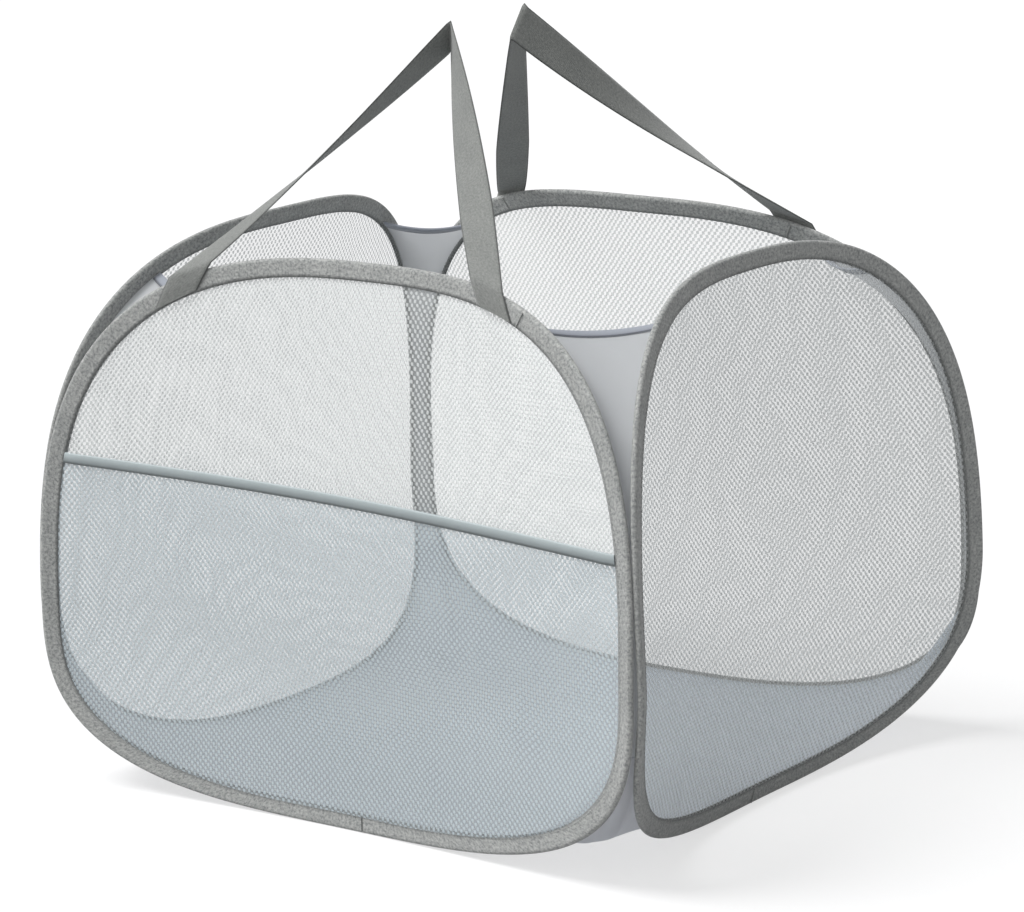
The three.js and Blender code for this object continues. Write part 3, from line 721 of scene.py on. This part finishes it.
def seam_blend(points, first, second):
    """Share from 0 on the first panel's surface to 1 on the second's: the angle whose tangent is the depth
    inside the first over the depth inside the second.
    """
    def depth(panel):
        """How far the points lie inside the panel's surface."""
        local = points @ panel.turn
        return np.clip(local[..., 1] - (panel.draw_in(local[..., 0], local[..., 2]) - panel.setback), 0, None)
    return np.arctan2(depth(first), depth(second) + 1e-9) / (math.pi / 2)


def set_blend(piece, shares):
    """Shares worked out point by point for how far the cloth goes with its second body."""
    attribute = piece.data.attributes["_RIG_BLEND"]
    attribute.data.foreach_set("value", shares.reshape(-1).astype(np.float32))


def thicken(piece):
    """Gives a sheet its thickness. Its open edges are sharp, so that the cloth beside them shades flat."""
    mesh = piece.data
    used = np.empty(len(mesh.loops), np.int32)
    mesh.loops.foreach_get("edge_index", used)
    is_open = np.bincount(used, minlength=len(mesh.edges)) == 1
    mesh.attributes.new("sharp_edge", "BOOLEAN", "EDGE").data.foreach_set("value", is_open)
    solid = piece.modifiers.new("cloth_thickness", "SOLIDIFY")
    solid.thickness = CLOTH_THICKNESS
    solid.offset = 0.0
    solid.use_even_offset = True
    return solid


def base_puckers(x, y):
    """Small waves of slack nylon: two sines multiplied, and half as much of a third, finer one."""
    return np.sin(60 * x + 23 * y) * np.sin(41 * y - 13 * x + 2) + 0.5 * np.sin(95 * x - 70 * y)


# Painted shade: the upper side is coloured a darker blue-grey than the light grey underside, for the shade
# inside the basket
nylon_base_shaded = nylon_finish("base_nylon_painted_shade", (0.43, 0.485, 0.53), (0.35, 0.40, 0.445), 0.0008, 0.6)
nylon_base_shaded.blend_with("ShaderNodeBsdfTranslucent", 0.4, (0.70, 0.73, 0.76))
nylon_under = nylon_finish("base_underside", (0.74, 0.73, 0.74), (0.64, 0.63, 0.64), 0.0008, 0.6)
nylon_under.blend_with("ShaderNodeBsdfTranslucent", 0.6, (0.90, 0.88, 0.89))
SIDES_ROUND = ("front", "right", "back", "left")
# Each half: where the ring of sides starts, the two panels it follows with their places, its gap to the floor
BASE_HALVES = {
    "base_front_right_half": (0, ("front", (0, -0.2, 0)), ("right", (0.2, 0, 0)), 0.0009),
    "base_back_left_half": (2, ("left", (-0.2, 0, 0)), ("back", (0, 0.2, 0)), 0.0005),
}
for name, (first, (side_a, place_a), (side_b, place_b), floor_gap) in BASE_HALVES.items():
    ring = [base_edge(panels[side], 81) for side in SIDES_ROUND[first:] + SIDES_ROUND[:first]]
    start = (ring[0][0] + ring[3][-1]) / 2
    finish = (ring[1][-1] + ring[2][0]) / 2
    edge = np.vstack([start[None], ring[0][1:], ring[1][:-1], finish[None]])
    share = np.concatenate([np.linspace(BASE_CENTRE, BASE_FLAT, 24)[:-1], np.linspace(BASE_FLAT, 1, 34)])
    share = share[:, None]
    climb = np.clip((share - BASE_FLAT) / (1 - BASE_FLAT), 0, 1) ** BASE_RISE
    x, y = share * edge[None, :, 0], share * edge[None, :, 1]
    z = floor_gap + (edge[None, :, 2] - floor_gap) * climb
    slack = PUCKER_HEIGHT * np.clip(climb * (1 - climb) * 4, 0, 1)
    z = z + slack * (base_puckers(x, y) + 1) * 0.5
    points = np.stack([x, y, z], -1)
    base_half = piece_from_grid(name, points[::-1], np.stack([x, y], -1)[::-1], nylon_base_shaded)
    base_half.data.materials.append(nylon_under.material)
    thicken(base_half).material_offset = 1
    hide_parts("base_fabric")
    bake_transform(base_half, f"{side_a}_panel", f"{side_b}_panel", place_a, place_b)
    set_blend(base_half, seam_blend(points[::-1], panels[side_a], panels[side_b]))

# ---- Corner gussets: light grey nylon between each two hoops, caught in both edge tapes, wide at the top
# and running down the corner seam as a narrow strip to the base. A folded nylon hem closes the top.

GUSSET_TOPS = {"front_right": 0.354, "back_right": 0.350, "back_left": 0.346, "front_left": 0.350}
GUSSET_SAG = 0.006
GUSSET_HOLLOW = 0.004
GUSSET_HEM = 0.007
HEM_REACH = 0.03
HEM_SLOPE_STEP = 0.006
GUSSET_ROWS = 60
gusset_cloth = nylon_finish("light_grey_nylon", (0.58, 0.59, 0.60), (0.49, 0.50, 0.51), 0.0007, 0.6)
gusset_cloth.blend_with("ShaderNodeBsdfTranslucent", 0.5, (0.80, 0.81, 0.82))
gusset_band = nylon_finish("gusset_band_nylon", (0.335, 0.355, 0.40), (0.25, 0.27, 0.31), 0.0007, 0.65,
                           seam=True)
corners = {
    "front_right": ("front", "right", "front_panel", "right_panel"),
    "back_right": ("right", "back", "right_panel", "back_right_corner"),
    "back_left": ("back", "left", "back_panel", "left_panel"),
    "front_left": ("left", "front", "left_panel", "front_panel"),
}


def gusset_surface(first, second, top, height, share):
    """Straight across from the first hoop to the second at each height, sagging and hollowed towards the top.

    Sag and hollow are parabolas across, and grow with a power of the height.
    """
    def side(panel, sign):
        """Points just inside one hoop's tape."""
        return panel.at(sign * panel.half_width(height, CLOTH_INSET), height, CLOTH_LIFT)
    a, b = side(first, 1), side(second, -1)
    points = a + (b - a) * share[..., None]
    climb = (height - GUSSET_FOOT) / (top - GUSSET_FOOT)
    points[..., 2] -= GUSSET_SAG * climb ** 4 * 4 * share * (1 - share)
    inward = points * np.array([1.0, 1.0, 0.0])
    hollow = GUSSET_HOLLOW * np.clip(climb, 0, 1) ** 2 * 4 * share * (1 - share)
    return points - unit(inward) * hollow[..., None]


for name, (first, second, body_a, body_b) in corners.items():
    panel_a, panel_b = panels[first], panels[second]
    top = GUSSET_TOPS[name]
    heights = np.linspace(top, GUSSET_FOOT, GUSSET_ROWS + 1)
    height, share = np.meshgrid(heights, np.linspace(0, 1, 25), indexing="ij")
    points = gusset_surface(panel_a, panel_b, top, height, share)
    width = np.linalg.norm(points[:, -1] - points[:, 0], axis=-1)[:, None]
    gusset = piece_from_grid(f"{name}_gusset_cloth", points, np.stack([share * width, height], -1),
                             gusset_cloth)
    thicken(gusset)
    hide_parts(f"{name}_gusset")
    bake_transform(gusset, body_a, body_b, (0, 0, 0), (0, 0, 1))
    set_blend(gusset, share)
    area = float(np.sum(0.5 * (width[1:] + width[:-1]) * (top - GUSSET_FOOT) / GUSSET_ROWS))
    reach = np.linspace(HEM_REACH, 1 - HEM_REACH, 41)
    line = gusset_surface(panel_a, panel_b, top, np.full_like(reach, top), reach)
    below = gusset_surface(panel_a, panel_b, top, np.full_like(reach, top - HEM_SLOPE_STEP), reach)
    rise = unit(line - below)
    out = unit(np.cross(np.gradient(line, axis=0), rise))
    hem = folded_band(f"{name}_gusset_hem_band", line, rise, out, GUSSET_HEM, 0.0005, gusset_band)
    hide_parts(f"{name}_gusset_hem")
    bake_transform(hem, body_a, body_b, (0, 0, 0), (0, 0, 1))
    set_blend(hem, np.repeat(reach[:, None], len(hem.data.vertices) // len(reach), 1))

# ---- Handles: two lengths of woven webbing, front and back, each sewn at both ends to the outside of the
# edge tape and creased at the top, where the webbing stands on edge.

WEBBING_WIDTH = 0.025
WEBBING_THICKNESS = 0.0012
HANDLE_SPAN = 0.246
END_WIDTH = 0.031
END_SLANT = 0.008
SEWN_STEPS = 14
SEWN_MARGIN = 0.0004
WEBBING_GAP = 0.0002
WEBBING_EDGE = 0.00012
EASE_START = 0.001
EASE_LENGTH = 0.006
WIDEN_SHARE = 0.3
LEG_STEPS = 72
STRAP_DROOP = 0.0035 * np.array([0.0, 0.35, -1.0])
# powers: how late the strap's turn comes on the way up each leg. left_edge: -1 where its edges change sides
HANDLES = {
    "front": dict(offset=-0.0188, reach=0.213, lean=48.5, shift=-0.0175, gap=0.0011,
                  crease=(0.0074, -0.0100, 0.0233), powers={1: 1.9, -1: 1.0}, left_edge=1),
    "back": dict(offset=-0.002, reach=0.218, lean=46.6, shift=-0.001, gap=0.0008,
                 crease=(0.0055, 0.0087, -0.0227), powers={1: 0.71, -1: 1.0}, left_edge=-1),
}
webbing_lift = TAPE_RADIUS + WEBBING_GAP + WEBBING_THICKNESS / 2


def webbing_finish(name, light, dark):
    """Woven webbing: ribs across the strap, fine warp lines along it and a dark selvedge down each side."""
    webbing = Finish(name, Roughness=0.78, Specular_IOR_Level=0.3, Sheen_Weight=0.3)
    where = on_cloth(webbing)
    along, across = split(webbing, where)
    ribs = webbing.wave(along, 0.0012) * 0.5 + 0.5
    warp = webbing.wave(across, 0.0010) * 0.5 + 0.5
    speck = webbing.noise(where, 560.0, detail=4.0, roughness=0.75)
    grain = webbing.ramp(speck, 0.36, 0.64)
    patches = webbing.noise(where, 40.0, detail=3.0)
    side = webbing.wave(across + WEBBING_WIDTH / 4, WEBBING_WIDTH)
    selvedge = webbing.ramp(side, 0.955, 0.995, kind="SMOOTHSTEP")
    cloth = webbing.mix(grain * 0.65 + patches * 0.5 - 0.08, dark, light)
    webbing.colour(webbing.mix(selvedge * 0.75, cloth, tuple(0.45 * channel for channel in dark)))
    webbing.bump(ribs * 0.5 + warp * 0.5 + speck * 0.4, 0.5, 0.0003)
    return webbing


webbing_cloth = webbing_finish("grey_webbing", (0.290, 0.297, 0.282), (0.135, 0.143, 0.138))


def turned_about(vectors, axis, angles):
    """Each vector turned by its own angle: cosine and sine parts, and what lies along the axis kept."""
    c, s = np.cos(angles)[:, None], np.sin(angles)[:, None]
    return vectors * c + np.cross(axis, vectors) * s + axis * (vectors @ axis)[:, None] * (1 - c)


def strap(panel, shape):
    """Middle line and half-width vectors of the strap, right end to left, before the panel's turn.

    Each leg climbs the tape where it is sewn and then runs straight to the crease with a slight droop. Its
    width turns about the run, by a power of the way up, from along the rim to along the crease.
    """
    def end_spot(side, across, inset, lift):
        """Place on the sewn end: its side, from -1 to 1 across it, inset from the rim and lifted."""
        slant = side * END_SLANT * (inset + SEWN_MARGIN) / TAPE_WIDTH
        u = shape["offset"] + side * HANDLE_SPAN / 2 + across * END_WIDTH / 2 + slant
        return panel.flat(u, panel.rim_height(u, inset), lift)

    def half_across(side, inset, lift):
        """Half of the sewn end's width at an inset, from its middle to its edge."""
        edge = shape["left_edge"] if side < 0 else 1
        return (end_spot(side, 1, inset, lift) - end_spot(side, -1, inset, lift)) / 2 * edge

    over_leg = LEG_GAP + TAPE_THICKNESS + WEBBING_GAP + WEBBING_THICKNESS / 2
    legs = []
    start_inset = -SEWN_MARGIN - shape["gap"] - WEBBING_THICKNESS / 2
    lean = math.radians(shape["lean"])
    crease = np.array(shape["crease"]) / 2
    starts = {side: end_spot(side, 0, start_inset, webbing_lift) for side in (1, -1)}
    apex = (starts[1] + starts[-1]) / 2 + np.array(
        [shape["shift"], shape["reach"] * math.sin(lean), shape["reach"] * math.cos(lean)])
    for side in (1, -1):
        sewn = np.linspace(TAPE_WIDTH - SEWN_MARGIN, -SEWN_MARGIN / 2, SEWN_STEPS)
        ease = np.clip((TAPE_WIDTH - EASE_START - sewn) / EASE_LENGTH, 0, 1)
        lifts = over_leg + (webbing_lift - over_leg) * ease
        sewn_middle, sewn_half = end_spot(side, 0, sewn, lifts), half_across(side, sewn, lifts)
        start = starts[side]
        half_end = half_across(side, start_inset, webbing_lift)
        run = unit(apex - start)
        first = unit(half_end - run * (half_end @ run))
        last = unit(crease - run * (crease @ run))
        turn = math.atan2(np.cross(first, last) @ run, first @ last)
        share = np.linspace(0, 1, LEG_STEPS)
        eased = share ** shape["powers"][side]
        half = turned_about(np.repeat(first[None], LEG_STEPS, 0), run, turn * eased) * WEBBING_WIDTH / 2
        start_width = np.linalg.norm(half_end - run * (half_end @ run)) * 2
        widen = np.clip(1 - share / WIDEN_SHARE, 0, 1)[:, None]
        half = half * (1 + widen * (start_width / WEBBING_WIDTH - 1))
        half += run * (half_end @ run) * np.clip(1 - 3 * share, 0, 1)[:, None]
        half += run * (crease @ run) * np.clip(9 * share - 8, 0, 1)[:, None] ** 1.5
        middle = start + (apex - start) * share[:, None]
        middle = middle + STRAP_DROOP * (4 * share * (1 - share))[:, None]
        legs.append((np.vstack([sewn_middle, middle]), np.vstack([sewn_half, half])))
    right, left = legs
    middle = np.vstack([right[0], left[0][::-1][1:]])
    half = np.vstack([right[1], left[1][::-1][1:]])
    return middle, half


def strap_piece(name, panel, shape, body):
    """The strap as a closed sleeve: a flat section with round edges, carried along the middle line.

    Its sewn ends go with the panel and the rest with the handle, over a smooth step just past the ends.
    """
    middle, half = strap(panel, shape)
    run = np.gradient(middle, axis=0)
    peak = len(middle) // 2
    run[peak] = unit(middle[peak + 1] - middle[peak]) - unit(middle[peak - 1] - middle[peak])
    face = unit(np.cross(half, run))
    before, after = face[peak - 1], face[peak + 1]
    bisector = unit(before + after)
    face[peak] = bisector / max(bisector @ before, 0.5)
    cross = np.linspace(-1, 1, 13)
    thick = WEBBING_THICKNESS / 2 * np.sqrt(np.clip(1 - np.abs(cross) ** 12, 0, 1)) + WEBBING_EDGE
    up_side = middle[:, None] + half[:, None] * cross[None, :, None] + face[:, None] * thick[None, :, None]
    down_side = middle[:, None] + half[:, None] * cross[None, ::-1, None]
    down_side = down_side - face[:, None] * thick[None, ::-1, None]
    points = np.concatenate([up_side, down_side], 1) @ panel.turn.T
    along = np.concatenate([[0], np.cumsum(np.linalg.norm(np.diff(middle, axis=0), axis=1))])
    over = (cross + 1) * WEBBING_WIDTH / 2
    around = np.concatenate([over, over + WEBBING_WIDTH, [2 * WEBBING_WIDTH]])
    uv = np.stack(np.meshgrid(along, around, indexing="ij"), -1)
    piece = piece_from_grid(name, points, uv, webbing_cloth, loop_columns=True)
    distance = np.minimum(along - along[SEWN_STEPS - 1], along[-SEWN_STEPS] - along)
    share = np.clip((distance - SEWN_MARGIN) / EASE_LENGTH, 0, 1)
    share = share * share * (3 - 2 * share)
    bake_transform(piece, body, name.replace("_strap", ""), (0, 0, 0), (0, 0, 1))
    set_blend(piece, np.repeat(share[:, None], points.shape[1], 1))
    return piece


for name, shape in HANDLES.items():
    strap_made = strap_piece(f"{name}_handle_strap", panels[name], shape, f"{name}_panel")
    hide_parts(f"{name}_handle", f"{name}_handle_left_end", f"{name}_handle_right_end")
